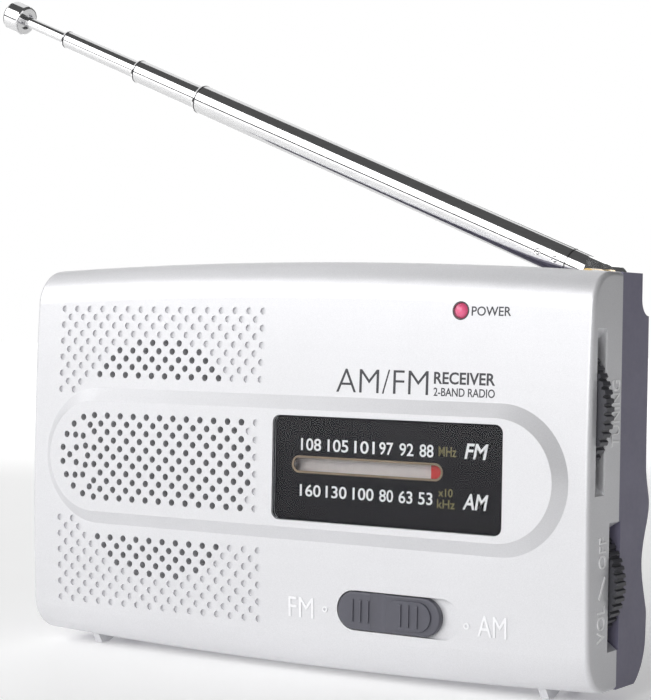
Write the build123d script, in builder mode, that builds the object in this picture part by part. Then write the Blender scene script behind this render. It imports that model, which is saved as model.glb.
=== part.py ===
from build123d import *
import os
from math import acos, atan2, cos, degrees, pi, radians, sin, sqrt, tan

# Pocket-size two-band radio that stands on a table, with a telescopic aerial. Millimetres.
# The origin is the centre of the plane that the feet stand on: +X right, -Y front, +Z up.
# The front and rear case shells meet on the plane y = 0.

# ---------------------------------------------------------------- driving dimensions
WIDTH = 119.0            # case, end to end
CASE_BELLY = 0.8         # lowest point of the arched underside, above the table
CASE_TOP = 74.2          # highest point of the arched top
TOP_RISE = 1.7           # how much the top is higher in the middle than at the ends
BELLY_DROP = 1.4         # how much the underside is lower in the middle
FRONT_DEPTH = 12.0       # seam to front face
REAR_DEPTH = 12.6        # seam to the furthest point of the back
FRONT_BOW_RADIUS = 480.0
CORNER_RADIUS = 7.0      # front face into top and underside
END_EDGE_RADIUS = 0.8
WALL = 2.0
FINE_GAP = 0.05          # radial clearance of a shaft in its bore

MID_HEIGHT = (CASE_BELLY + CASE_TOP) / 2
HALF_WIDTH = WIDTH / 2
INNER_FRONT = -(FRONT_DEPTH - WALL)

# raised stadium pad on the front
PAD_Z = 37.2
PAD_HALF_HEIGHT = 10.5
PAD_LENGTH = 107.2
PAD_FACE = -13.7
PAD_SLOPE_RUN = 2.4
PAD_SLOPE_RISE = 1.85

# holes in the front: a diagonal lattice
HOLE_RADIUS = 0.62
HOLE_PITCH = 1.55
LATTICE_X0 = -33.95      # column 0 of the lattice above and below the pad
LATTICE_Z0 = 58.9        # row 0 of the same lattice
PAD_LATTICE_X0 = -39.7
DIMPLE_DEPTH = 0.45
SOUND_RADIUS = 14.5      # in lattice pitches: holes inside this circle go right through

# dial
WINDOW_X = (-1.87, 44.47)
WINDOW_HALF_HEIGHT = 9.35
WINDOW_Z = 37.3
WINDOW_CORNER = 1.5
LENS_THICKNESS = 0.95
SLOT_X = (2.25, 32.2)
SLOT_Z = 37.98
SLOT_HEIGHT = 2.3
POINTER_WIDTH = 2.4
POINTER_REST_X = 30.8

# speaker
SPEAKER_X = -29.3
SPEAKER_RADIUS = 25.0
SPEAKER_SEAT = -9.2

# tuning train
MODULE = 0.5
PRESSURE_ANGLE = radians(20)
BACKLASH = 0.12
WHEEL_TEETH = 34
IDLER_TEETH = 48
TUNING_X = 47.2
TUNING_Z = 49.3
TUNING_RADIUS = 14.0
RACK_PITCH_LINE_Z = 34.0
GEAR_FRONT = -6.0
GEAR_BACK = -4.95

# volume wheel
VOLUME_X = 49.4
VOLUME_Z = 19.9
VOLUME_RADIUS = 11.5

# band switch
SWITCH_X = (10.9, 35.75)
SWITCH_Z = 12.75
SWITCH_HEIGHT = 7.1
SWITCH_FLOOR = -10.25
KNOB_LENGTH = 20.7
SWITCH_TRAVEL = 3.7

# power light
LIGHT_X = 34.7
LIGHT_Z = 65.6
LIGHT_RADIUS = 1.35

# main board
BOARD_FRONT = -4.7
BOARD_BACK = -3.7

# battery bay (two AA cells, one above the other)
CELL_RADIUS = 6.95
CELL_Z = (31.5, 15.0)
CELL_Y = 3.02
BAY_X = (-18.0, 37.0)
BAY_Z = (7.6, 38.9)
BAY_FRONT = -4.0
BAY_WALL = 0.7
DOOR_WALL = 1.1
DOOR_GAP = 0.2
HINGE_Y = 10.2
HINGE_Z = 9.6
HINGE_BAR_RADIUS = 1.6
HINGE_PIN_RADIUS = 0.75

# aerial
AERIAL_TILT = radians(22)
PIVOT = (55.0, 4.2, 71.1)
pivot_place = [(PIVOT[0], PIVOT[2])]
NOTCH_FLOOR = 67.9
NOTCH_FRONT = 1.0
NOTCH_X = (-60.5, 58.4)
TUBE_RADII = ((2.80, 2.36), (2.30, 1.81), (1.75, 1.16))
TUBE_MOUTHS = (94.1, 110.8, 130.8)
TUBE_LENGTHS = (86.4, 80.0, 76.0)
TIP_ROD_RADIUS = 1.10
TIP_ROD_LENGTH = 72.0
KNOB_START = 142.3
KNOB_SIZE = (3.0, 4.2)
PUNCH_REACH = (9.8, 13.4)
PUNCH_DEPTH = 0.2

# fasteners
CASE_SCREWS = ((-52.5, 8.5), (53.5, 5.9), (55.0, 64.2), (-12.5, 60.5))
BOARD_SCREWS = ((2.0, 62.0), (28.0, 63.5), (42.0, 7.0))
SPEAKER_SCREW_ANGLES = (45, 165, 285)
CASE_BOSS_RADIUS = 2.4
REAR_BOSS_RADIUS = 2.8
BOARD_BOSS_RADIUS = 2.2
AERIAL_BOSS_RADIUS = 2.9
INSERT_RADIUS = 1.9
STAKES_X = (8.2, 37.5)

# feet
FOOT_X = 48.45
FOOT_HALF_WIDTH = 0.75

# ---------------------------------------------------------------- shared helpers


def front_plane(y):
    """A sketch plane at depth y whose local axes are X and Z; it extrudes towards the front."""
    return Plane.XZ.offset(-y)


def end_plane(x):
    """A sketch plane at x whose local axes are Y and Z; it extrudes towards the right."""
    return Plane.YZ.offset(x)


def box_between(x, y, z):
    """A block between two limits along each axis."""
    with BuildPart() as block:
        with Locations(((x[0] + x[1]) / 2, (y[0] + y[1]) / 2, (z[0] + z[1]) / 2)):
            Box(x[1] - x[0], y[1] - y[0], z[1] - z[0])
    return block.part


def bar_along_y(radius, places, y):
    """Round bars along Y between y[0] and y[1], one at each (x, z) place."""
    with BuildPart() as bars:
        with BuildSketch(front_plane(y[1])):
            with Locations(*places):
                Circle(radius)
        extrude(amount=y[1] - y[0])
    return bars.part


def bar_along_x(radius, y, z, x):
    """A round bar along X between x[0] and x[1]."""
    with BuildPart() as bar:
        with BuildSketch(end_plane(x[0])):
            with Locations((y, z)):
                Circle(radius)
        extrude(amount=x[1] - x[0])
    return bar.part


def turned_about_y(points, x, z):
    """A solid of revolution about the line through (x, z) along Y, from (radius, y) points."""
    with BuildPart() as body:
        with BuildSketch(Plane((x, 0, z), x_dir=(1, 0, 0), z_dir=(0, 0, 1))):
            with BuildLine():
                Polyline(*points, close=True)
            make_face()
        revolve(axis=Axis((x, 0, z), (0, 1, 0)))
    return body.part


def front_surface_y(z):
    """Depth of the bowed front face at height z."""
    centre = FRONT_BOW_RADIUS - FRONT_DEPTH
    return centre - sqrt(FRONT_BOW_RADIUS**2 - (z - MID_HEIGHT) ** 2)


# ---------------------------------------------------------------- case outlines


def case_outline(inset):
    """The case seen from the front: straight ends, arched top and underside."""
    half = HALF_WIDTH - inset
    top_end = CASE_TOP - TOP_RISE - inset
    belly_end = CASE_BELLY + BELLY_DROP + inset
    with BuildSketch() as outline:
        with BuildLine():
            ThreePointArc((-half, top_end), (0, CASE_TOP - inset), (half, top_end))
            Line((half, top_end), (half, belly_end))
            ThreePointArc((half, belly_end), (0, CASE_BELLY + inset), (-half, belly_end))
            Line((-half, belly_end), (-half, top_end))
        make_face()
    return outline.sketch


def front_block(inset):
    """The front half of the case, or its cavity when inset is the wall's thickness."""
    with BuildPart() as block:
        with BuildSketch(front_plane(0)):
            add(case_outline(inset))
        extrude(amount=FRONT_DEPTH + 3)
        with BuildSketch(end_plane(-WIDTH)):
            with Locations((FRONT_BOW_RADIUS - FRONT_DEPTH, MID_HEIGHT)):
                Circle(FRONT_BOW_RADIUS - inset)
        extrude(amount=2 * WIDTH, mode=Mode.INTERSECT)
        long_rims = [
            edge
            for edge in block.edges()
            if edge.length > 0.8 * WIDTH and edge.center().Y < -FRONT_DEPTH / 2
        ]
        fillet(long_rims, CORNER_RADIUS - inset)
        if inset == 0:
            end_rims = [
                edge
                for edge in block.edges()
                if abs(edge.center().X) > HALF_WIDTH - 0.01 and edge.center().Y < -0.01
            ]
            fillet(end_rims, END_EDGE_RADIUS)
    return block.part


def front_cavity():
    """The hollow of the front half, less the screw bosses that stand in it."""
    with BuildPart() as hollow:
        add(front_block(WALL))
        case_bosses = bar_along_y(CASE_BOSS_RADIUS, CASE_SCREWS, (-FRONT_DEPTH, -0.1))
        add(case_bosses, mode=Mode.SUBTRACT)
        board_bosses = bar_along_y(BOARD_BOSS_RADIUS, BOARD_SCREWS, (-FRONT_DEPTH, BOARD_FRONT))
        add(board_bosses, mode=Mode.SUBTRACT)
        add(bar_along_y(AERIAL_BOSS_RADIUS, pivot_place, (-6.5, -0.1)), mode=Mode.SUBTRACT)
    return hollow.part


def rear_profile(shift):
    """The wavy back seen from the end, moved inwards by shift."""
    ledge_y, back_y = 8.0 - shift, 10.9 - shift
    with BuildSketch() as profile:
        with BuildLine():
            Polyline((0, CASE_TOP + 1), (ledge_y, CASE_TOP + 1), (ledge_y, 68.1))
            RadiusArc((ledge_y, 68.1), (back_y, 65.2), -2.9)
            Line((back_y, 65.2), (back_y, 40.0))
            Spline(
                (back_y, 40.0),
                (12.4 - shift, 32.7),
                (9.7 - shift, 23.1),
                (12.0 - shift, 13.9),
                (11.9 - shift, 10.3),
                tangents=((0, -1), (0, -1)),
            )
            RadiusArc((11.9 - shift, 10.3), (2.4, CASE_BELLY), 9.5)
            Polyline((2.4, CASE_BELLY), (2.4, -1), (0, -1), (0, CASE_TOP + 1))
        make_face()
    return profile.sketch


def rear_block():
    """The rear half of the case as a full block."""
    with BuildPart() as block:
        with BuildSketch(front_plane(REAR_DEPTH + 2)):
            add(case_outline(0))
        extrude(amount=REAR_DEPTH + 2)
        with BuildSketch(end_plane(-WIDTH)):
            add(rear_profile(0))
        extrude(amount=2 * WIDTH, mode=Mode.INTERSECT)
    return block.part


def rear_cavity():
    """The hollow of the rear half: clear of the aerial's notch, the waves and the belly."""
    with BuildPart() as hollow:
        with BuildSketch(end_plane(-HALF_WIDTH + WALL)):
            with BuildLine():
                Polyline(
                    (-1, 66.3), (6.2, 66.3), (8.9, 63.2), (8.9, 41.0), (8.0, 36.0),
                    (8.0, 6.8), (5.4, 4.2), (-1, 3.2), close=True,
                )
            make_face()
        extrude(amount=WIDTH - 2 * WALL)
        with BuildSketch(front_plane(REAR_DEPTH)):
            add(case_outline(WALL))
        extrude(amount=REAR_DEPTH + 1, mode=Mode.INTERSECT)
        add(bar_along_y(REAR_BOSS_RADIUS, CASE_SCREWS, (0.1, REAR_DEPTH)), mode=Mode.SUBTRACT)
    return hollow.part


# ---------------------------------------------------------------- holes in the front


def lattice_place(column, row):
    return (LATTICE_X0 + column * HOLE_PITCH, LATTICE_Z0 - row * HOLE_PITCH)


def goes_through(column, row):
    return (column - 3) ** 2 + (row - 14) ** 2 <= SOUND_RADIUS**2


def lattice_rows():
    """Rows above the pad, then their mirror images below it: (row, columns)."""
    rows = []
    for row in range(-4, 5):
        first = -12 if row % 2 == 0 else -11
        rows.append((row, list(range(first, -first + 7, 2))))
    rows.append((5, [-11, -9]))
    rows.append((6, [-12, -10]))
    rows.extend([(28 - row, columns) for row, columns in rows])
    return rows


def panel_holes():
    """Through holes of the bowed panel, as (x, z) places."""
    return [
        lattice_place(column, row)
        for row, columns in lattice_rows()
        for column in columns
        if goes_through(column, row)
    ]


def pad_holes():
    """Through holes and blind dimples of the pad, as (x, z) places."""
    through, blind = [], []
    for row in range(11):
        z = PAD_Z + (5 - row) * HOLE_PITCH
        first = -1 if row % 2 else (0 if row in (0, 10) else -2)
        last_through = 20 if row % 2 == 0 else (19 if row in (1, 9) else 21)
        for column in range(first, last_through + 1, 2):
            through.append((PAD_LATTICE_X0 + column * HOLE_PITCH, z))
        if last_through < 21:
            blind.append((PAD_LATTICE_X0 + (last_through + 2) * HOLE_PITCH, z))
    centre_x = PAD_LATTICE_X0 - 2 * HOLE_PITCH
    rings = (
        (5.0, range(90, 271, 20)),
        (3.85, range(100, 261, 40)),
        (2.95, range(126, 235, 36)),
        (1.8, (139, 221)),
        (1.0, (180,)),
    )
    for ring_radius, angles in rings:
        for angle in angles:
            reach = ring_radius * HOLE_PITCH
            x = centre_x + reach * cos(radians(angle))
            through.append((x, PAD_Z + reach * sin(radians(angle))))
    return through, blind


def hole_bars(places, y):
    return bar_along_y(HOLE_RADIUS, places, y)


def panel_dimples():
    """Shallow blind holes of the bowed panel, row by row at the same depth below the face."""
    with BuildPart() as dimples:
        for row, columns in lattice_rows():
            blind = [lattice_place(c, row) for c in columns if not goes_through(c, row)]
            bottom = front_surface_y(blind[0][1]) + DIMPLE_DEPTH
            add(hole_bars(blind, (bottom - 2, bottom)))
    return dimples.part


# ---------------------------------------------------------------- front shell


def stadium(half_height, length):
    with BuildSketch() as outline:
        with Locations((0, PAD_Z)):
            SlotOverall(length, 2 * half_height)
    return outline.sketch


def side_slot(z_outer, z_inner, y):
    """A slot through the right end with sloped lead-ins at its top and bottom."""
    outer, inner = HALF_WIDTH + 0.5, HALF_WIDTH - WALL - 0.5
    slope = 0.25 * (z_outer[1] - z_inner[1])
    with BuildPart() as slot:
        with BuildSketch(front_plane(y[1])):
            with BuildLine():
                Polyline(
                    (outer, z_outer[0] - slope),
                    (outer, z_outer[1] + slope),
                    (inner, z_inner[1]),
                    (inner, z_inner[0]),
                    close=True,
                )
            make_face()
        extrude(amount=y[1] - y[0])
    return slot.part


def slot_bevel(z, y):
    """A narrow bevel along the rear rim of a side slot, at depth y."""
    with BuildPart() as bevel:
        with BuildSketch(Plane.XY.offset(z[0])):
            with BuildLine():
                Polyline(
                    (HALF_WIDTH + 0.1, y - 0.2),
                    (HALF_WIDTH + 0.1, y + 0.4),
                    (HALF_WIDTH - 0.4, y - 0.2),
                    close=True,
                )
            make_face()
        extrude(amount=z[1] - z[0])
    return bevel.part


pad_through, pad_blind = pad_holes()
speaker_screw_places = [
    (SPEAKER_X + 23.9 * cos(radians(angle)), PAD_Z + 23.9 * sin(radians(angle)))
    for angle in SPEAKER_SCREW_ANGLES
]
lens_pocket_floor = -12.4
rail_z = (28.8, 30.85)

with BuildPart() as front_shell:
    add(front_block(0))
    pad_base = 1.35 + PAD_SLOPE_RISE
    reach = PAD_SLOPE_RUN * pad_base / PAD_SLOPE_RISE
    with BuildSketch(front_plane(PAD_FACE + pad_base)):
        add(stadium(PAD_HALF_HEIGHT + reach, PAD_LENGTH + 2 * reach))
    with BuildSketch(front_plane(PAD_FACE)):
        add(stadium(PAD_HALF_HEIGHT, PAD_LENGTH))
    loft()
    add(front_cavity(), mode=Mode.SUBTRACT)
    # speaker seat and pointer rail
    with BuildSketch(front_plane(SPEAKER_SEAT)):
        with Locations((SPEAKER_X, PAD_Z)):
            Circle(SPEAKER_RADIUS + 1.4)
            Circle(SPEAKER_RADIUS - 2.5, mode=Mode.SUBTRACT)
    extrude(amount=1.4)
    with BuildSketch(front_plane(-7.5)):
        with Locations((SPEAKER_X, PAD_Z)):
            Circle(SPEAKER_RADIUS + 1.4)
            Circle(SPEAKER_RADIUS + 0.2, mode=Mode.SUBTRACT)
    extrude(amount=2.6)
    add(box_between((1.0, 56.8), (INNER_FRONT - 0.4, -6.15), (rail_z[0], 32.0)))
    add(box_between((1.0, 56.8), (-6.3, -4.95), rail_z))
    # space behind the pad, lens pocket and dial opening
    with BuildSketch(front_plane(INNER_FRONT + 0.4)):
        add(stadium(PAD_HALF_HEIGHT - 1.6, PAD_LENGTH - 3.2))
        with Locations((SPEAKER_X, PAD_Z)):
            Circle(SPEAKER_RADIUS - 2.3, mode=Mode.INTERSECT)
    extrude(amount=2.3, mode=Mode.SUBTRACT)
    with BuildSketch(front_plane(lens_pocket_floor)):
        with Locations((sum(WINDOW_X) / 2, WINDOW_Z)):
            width = WINDOW_X[1] - WINDOW_X[0]
            RectangleRounded(width, 2 * WINDOW_HALF_HEIGHT, WINDOW_CORNER)
    extrude(amount=3, mode=Mode.SUBTRACT)
    add(box_between((1.2, 36.0), (-13, -6.2), (32.1, 43.0)), mode=Mode.SUBTRACT)
    # grille
    add(hole_bars(panel_holes() + pad_through, (-15, -9.3)), mode=Mode.SUBTRACT)
    add(hole_bars(pad_blind, (-15, PAD_FACE + DIMPLE_DEPTH)), mode=Mode.SUBTRACT)
    add(panel_dimples(), mode=Mode.SUBTRACT)
    # band switch recess and its floor slot
    with BuildSketch(front_plane(SWITCH_FLOOR)):
        with Locations((sum(SWITCH_X) / 2, SWITCH_Z)):
            SlotOverall(SWITCH_X[1] - SWITCH_X[0], SWITCH_HEIGHT)
    extrude(amount=3, mode=Mode.SUBTRACT)
    add(box_between((16.2, 26.4), (-12, -8), (SWITCH_Z - 1.4, SWITCH_Z + 1.4)), mode=Mode.SUBTRACT)
    add(bar_along_y(1.6, [(x, SWITCH_Z) for x in STAKES_X], (INNER_FRONT, -6.0)))
    add(bar_along_y(0.9, [(x, SWITCH_Z) for x in STAKES_X], (-6.1, -5.0)))
    # power light, earphone socket, wheel slots
    add(bar_along_y(LIGHT_RADIUS + 0.05, [(LIGHT_X, LIGHT_Z)], (-13, -8)), mode=Mode.SUBTRACT)
    add(bar_along_x(3.1, -4.0, 61.0, (-HALF_WIDTH - 1, -HALF_WIDTH + 3)), mode=Mode.SUBTRACT)
    add(side_slot((35.4, 62.9), (37.9, 60.3), (-9.6, -6.0)), mode=Mode.SUBTRACT)
    add(slot_bevel((36.0, 62.4), -6.0), mode=Mode.SUBTRACT)
    add(side_slot((8.9, 30.5), (10.8, 29.0), (-3.8, 1.0)), mode=Mode.SUBTRACT)
    # pilot holes
    add(bar_along_y(1.0, CASE_SCREWS, (-9.6, 0)), mode=Mode.SUBTRACT)
    add(bar_along_y(0.8, BOARD_SCREWS, (-9.2, 0)), mode=Mode.SUBTRACT)
    add(bar_along_y(0.6, speaker_screw_places, (-10.3, 0)), mode=Mode.SUBTRACT)
    add(bar_along_y(INSERT_RADIUS, pivot_place, (-4.6, 0)), mode=Mode.SUBTRACT)
    # front feet: low ribs that rise to the front and to the seam from a narrow flat
    for side in (-1, 1):
        with BuildSketch(end_plane(side * FOOT_X - FOOT_HALF_WIDTH)):
            with BuildLine():
                Polyline((-4.2, 0), (-2.2, 0), (-0.05, 0.9), (-0.05, 3.4), (-6.6, 3.4), close=True)
            make_face()
        extrude(amount=2 * FOOT_HALF_WIDTH)

# ---------------------------------------------------------------- rear shell and battery door

door_x = (BAY_X[0] + DOOR_GAP, BAY_X[1] - DOOR_GAP)


def bay_box(grow, y_back):
    """The battery bay's inside, or its outside when grow is the bay's wall."""
    return box_between(
        (BAY_X[0] - grow, BAY_X[1] + grow),
        (BAY_FRONT - grow, y_back),
        (BAY_Z[0] - grow, BAY_Z[1] + grow),
    )


with BuildPart() as rear_shell:
    add(rear_block())
    add(rear_cavity(), mode=Mode.SUBTRACT)
    add(bay_box(BAY_WALL, 8.6))
    # the open channel along the top rear corner that the aerial folds into
    channel = box_between(NOTCH_X, (NOTCH_FRONT, REAR_DEPTH + 1), (NOTCH_FLOOR, CASE_TOP + 2))
    add(channel, mode=Mode.SUBTRACT)
    add(bay_box(0, REAR_DEPTH + 1), mode=Mode.SUBTRACT)
    add(box_between((-12.0, 31.0), (BAY_FRONT - 0.1, -0.5), (22.9, 23.6)))
    add(bar_along_y(1.3, CASE_SCREWS, (-1, 4)), mode=Mode.SUBTRACT)
    add(bar_along_y(2.2, CASE_SCREWS, (3.0, REAR_DEPTH + 1)), mode=Mode.SUBTRACT)
    pin_x = (BAY_X[0] - 0.9, BAY_X[1] + 0.9)
    add(bar_along_x(HINGE_PIN_RADIUS + FINE_GAP, HINGE_Y, HINGE_Z, pin_x), mode=Mode.SUBTRACT)
    add(bar_along_y(1.15, pivot_place, (-0.1, NOTCH_FRONT + 0.1)), mode=Mode.SUBTRACT)
    add(side_slot((8.9, 30.5), (10.8, 29.0), (-1, 0.6)), mode=Mode.SUBTRACT)
    for side in (-1, 1):
        foot_x = (side * FOOT_X - FOOT_HALF_WIDTH, side * FOOT_X + FOOT_HALF_WIDTH)
        add(box_between(foot_x, (5.0, 8.0), (0, 4.0)))

with BuildPart() as battery_door:
    with BuildSketch(end_plane(door_x[0])):
        add(rear_profile(0))
        add(rear_profile(DOOR_WALL), mode=Mode.SUBTRACT)
    extrude(amount=door_x[1] - door_x[0])
    door_z = (HINGE_Z, BAY_Z[1] - DOOR_GAP)
    add(box_between(door_x, (5, REAR_DEPTH + 1), door_z), mode=Mode.INTERSECT)
    add(bar_along_x(HINGE_BAR_RADIUS, HINGE_Y, HINGE_Z, door_x))
    pin_x = (BAY_X[0] - 0.8, BAY_X[1] + 0.8)
    add(bar_along_x(HINGE_PIN_RADIUS, HINGE_Y, HINGE_Z, pin_x))
    for rib in range(5):
        with BuildSketch(end_plane(4.0)):
            with Locations((10.9, 37.9 - 0.9 * rib)):
                Circle(0.28)
        extrude(amount=11.0)

# ---------------------------------------------------------------- dial

window_middle = sum(WINDOW_X) / 2
window_width = WINDOW_X[1] - WINDOW_X[0]

with BuildPart() as dial_lens:
    with BuildSketch(front_plane(PAD_FACE + 0.05 + LENS_THICKNESS)):
        with Locations((window_middle, WINDOW_Z)):
            RectangleRounded(window_width - 0.16, 2 * WINDOW_HALF_HEIGHT - 0.16, WINDOW_CORNER - 0.08)
    extrude(amount=LENS_THICKNESS)
    chamfer(dial_lens.faces().sort_by(Axis.Y)[0].edges(), 0.3)

with BuildPart() as dial_mask:
    with BuildSketch(front_plane(-12.4)):
        with Locations((window_middle, WINDOW_Z)):
            RectangleRounded(window_width - 0.3, 2 * WINDOW_HALF_HEIGHT - 0.3, WINDOW_CORNER - 0.15)
        with Locations((sum(SLOT_X) / 2, SLOT_Z)):
            SlotOverall(SLOT_X[1] - SLOT_X[0], SLOT_HEIGHT, mode=Mode.SUBTRACT)
    extrude(amount=0.2)

with BuildPart() as dial_backing:
    with BuildSketch(front_plane(-9.35)):
        with Locations((18.5, 38.9)):
            RectangleRounded(38.2, 8.6, 1.0)
    extrude(amount=0.6)

# ---------------------------------------------------------------- tuning train

wheel_pitch_radius = MODULE * WHEEL_TEETH / 2
idler_pitch_radius = MODULE * IDLER_TEETH / 2
idler_z = RACK_PITCH_LINE_Z + idler_pitch_radius
centre_distance = wheel_pitch_radius + idler_pitch_radius
idler_x = TUNING_X - sqrt(centre_distance**2 - (TUNING_Z - idler_z) ** 2)
wheel_to_idler = degrees(atan2(idler_z - TUNING_Z, idler_x - TUNING_X))
addendum = 0.95 * MODULE
dedendum = 1.2 * MODULE


def involute(angle):
    return tan(angle) - angle


def gear_outline(teeth, first_tooth):
    """An involute spur gear about the origin, with a tooth centred at first_tooth degrees."""
    pitch_radius = MODULE * teeth / 2
    base_radius = pitch_radius * cos(PRESSURE_ANGLE)
    tip_radius = pitch_radius + addendum
    root_radius = pitch_radius - dedendum
    half_at_pitch = pi / (2 * teeth) - BACKLASH / (2 * pitch_radius)
    flank_start = max(base_radius, root_radius)
    flank = []
    for step in range(5):
        radius = flank_start + (tip_radius - flank_start) * step / 4
        pressure = acos(base_radius / radius)
        half_angle = half_at_pitch + involute(PRESSURE_ANGLE) - involute(pressure)
        flank.append((radius, half_angle))
    if base_radius > root_radius:
        flank.insert(0, (root_radius, flank[0][1]))
    tooth = [(radius, -half_angle) for radius, half_angle in flank]
    tooth += [(radius, half_angle) for radius, half_angle in reversed(flank)]
    points = []
    for index in range(teeth):
        middle = radians(first_tooth) + 2 * pi * index / teeth
        for radius, half_angle in tooth:
            points.append((radius * cos(middle + half_angle), radius * sin(middle + half_angle)))
    with BuildSketch() as gear:
        with BuildLine():
            Polyline(*points, close=True)
        make_face()
    return gear.sketch


def knurled_disc(radius, ridges, depth):
    """A disc about the origin with flat-topped ridges round its rim."""
    points = []
    for index in range(ridges):
        for fraction, r in ((0, radius), (0.45, radius), (0.6, radius - depth), (0.85, radius - depth)):
            angle = 2 * pi * (index + fraction) / ridges
            points.append((r * cos(angle), r * sin(angle)))
    with BuildSketch() as disc:
        with BuildLine():
            Polyline(*points, close=True)
        make_face()
    return disc.sketch


def wheel_place(disc, x, z, y):
    """A flat outline made about the origin, extruded at (x, z) between two depths."""
    with BuildPart() as body:
        with BuildSketch(front_plane(y[1])):
            with Locations((x, z)):
                add(disc)
        extrude(amount=y[1] - y[0])
    return body.part


tuning_place = [(TUNING_X, TUNING_Z)]
wheel_y = (-9.3, -6.3)
wheel_seat = -8.1

with BuildPart() as tuning_wheel:
    add(wheel_place(knurled_disc(TUNING_RADIUS, 60, 0.5), TUNING_X, TUNING_Z, wheel_y))
    gear = gear_outline(WHEEL_TEETH, wheel_to_idler)
    add(wheel_place(gear, TUNING_X, TUNING_Z, (wheel_y[1], GEAR_BACK)))
    add(bar_along_y(3.0, tuning_place, (wheel_y[0], wheel_seat)), mode=Mode.SUBTRACT)
    with BuildSketch(front_plane(wheel_seat)):
        with Locations((TUNING_X, TUNING_Z)):
            Circle(11.6)
            Circle(4.4, mode=Mode.SUBTRACT)
    extrude(amount=1.4, mode=Mode.SUBTRACT)
    add(bar_along_y(2.0, tuning_place, (wheel_seat, 0)), mode=Mode.SUBTRACT)

with BuildPart() as tuning_shaft:
    add(bar_along_y(2.0, tuning_place, (wheel_seat, -1.7)))
    add(bar_along_y(0.8, tuning_place, (wheel_seat, -5.5)), mode=Mode.SUBTRACT)

with BuildPart() as tuning_wheel_screw:
    add(bar_along_y(0.8, tuning_place, (wheel_seat, -5.6)))
    add(bar_along_y(2.6, tuning_place, (wheel_seat - 0.9, wheel_seat)))
    slot_x = (TUNING_X - 2.6, TUNING_X + 2.6)
    slot_z = (TUNING_Z - 0.3, TUNING_Z + 0.3)
    slot_y = (wheel_seat - 1, wheel_seat - 0.5)
    add(box_between(slot_x, slot_y, slot_z), mode=Mode.SUBTRACT)

idler_place = [(idler_x, idler_z)]
idler_first_tooth = wheel_to_idler + 180 + 180 / IDLER_TEETH

with BuildPart() as idler_gear:
    gear = gear_outline(IDLER_TEETH, idler_first_tooth)
    add(wheel_place(gear, idler_x, idler_z, (GEAR_FRONT, GEAR_BACK)))
    add(bar_along_y(1.0 + FINE_GAP, idler_place, (GEAR_FRONT, GEAR_BACK)), mode=Mode.SUBTRACT)
    spokes = [
        (idler_x + 6.5 * cos(radians(angle)), idler_z + 6.5 * sin(radians(angle)))
        for angle in range(0, 360, 72)
    ]
    add(bar_along_y(2.6, spokes, (GEAR_FRONT, GEAR_BACK)), mode=Mode.SUBTRACT)

with BuildPart() as idler_axle:
    add(bar_along_y(1.0, idler_place, (-6.7, -3.4)))
    add(bar_along_y(1.8, idler_place, (-6.7, GEAR_FRONT - 0.1)))
    add(bar_along_y(1.5, idler_place, (GEAR_BACK + 0.08, BOARD_FRONT)))
    add(bar_along_y(1.5, idler_place, (BOARD_BACK, -3.3)))

# the rack: the gap of the idler that is nearest to straight down holds a rack tooth
tooth_step = 360 / IDLER_TEETH
gap_phase = (270 - idler_first_tooth - tooth_step / 2) / tooth_step
gap_angle = 270 - (gap_phase - round(gap_phase)) * tooth_step
rack_tooth_x = idler_x + idler_pitch_radius * radians(gap_angle - 270)
rack_pitch = pi * MODULE
rack_x = (POINTER_REST_X - 3.0, POINTER_REST_X + 23.5)
rack_z = (rail_z[1] + 0.15, RACK_PITCH_LINE_Z - dedendum)


def rack_outline():
    """A straight toothed bar whose teeth point up."""
    lean = tan(PRESSURE_ANGLE)
    half = rack_pitch / 4 - BACKLASH / 2
    top, bottom = RACK_PITCH_LINE_Z + addendum, rack_z[1]
    points = [(rack_x[0], rack_z[0]), (rack_x[0], bottom)]
    first = int((rack_x[0] - rack_tooth_x) / rack_pitch) - 1
    last = int((rack_x[1] - rack_tooth_x) / rack_pitch) + 1
    for index in range(first, last + 1):
        middle = rack_tooth_x + index * rack_pitch
        if middle - rack_pitch / 2 < rack_x[0] or middle + rack_pitch / 2 > rack_x[1]:
            continue
        low, high = half + dedendum * lean, half - addendum * lean
        points += [(middle - low, bottom), (middle - high, top)]
        points += [(middle + high, top), (middle + low, bottom)]
    points += [(rack_x[1], bottom), (rack_x[1], rack_z[0])]
    with BuildSketch() as rack:
        with BuildLine():
            Polyline(*points, close=True)
        make_face()
    return rack.sketch


pointer_x = (POINTER_REST_X - POINTER_WIDTH / 2, POINTER_REST_X + POINTER_WIDTH / 2)
arm_z = (32.3, 33.35)

with BuildPart() as pointer_rack:
    add(wheel_place(rack_outline(), 0, 0, (GEAR_FRONT, GEAR_BACK)))
    add(box_between(pointer_x, (-10.4, GEAR_FRONT), arm_z))

with BuildPart() as dial_pointer:
    add(box_between(pointer_x, (-11.3, -10.4), (arm_z[0], 39.6)))

# ---------------------------------------------------------------- tuning capacitor

tuner_x = (TUNING_X - 9.2, TUNING_X + 9.2)
tuner_z = (TUNING_Z - 9.2, TUNING_Z + 9.2)
trimmers = [(TUNING_X + sx * 6.6, TUNING_Z + sz * 6.6) for sx in (-1, 1) for sz in (-1, 1)]

with BuildPart() as tuning_capacitor:
    add(box_between(tuner_x, (BOARD_BACK, 4.6), tuner_z))
    fillet(tuning_capacitor.edges().filter_by(Axis.Y), 1.2)
    add(bar_along_y(2.0 + FINE_GAP, tuning_place, (BOARD_BACK, -1.6)), mode=Mode.SUBTRACT)
    add(bar_along_y(1.7, trimmers, (3.6, 4.7)), mode=Mode.SUBTRACT)
    add(bar_along_y(1.0, trimmers, (3.5, 4.3)))

# ---------------------------------------------------------------- volume control

volume_place = [(VOLUME_X, VOLUME_Z)]

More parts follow.
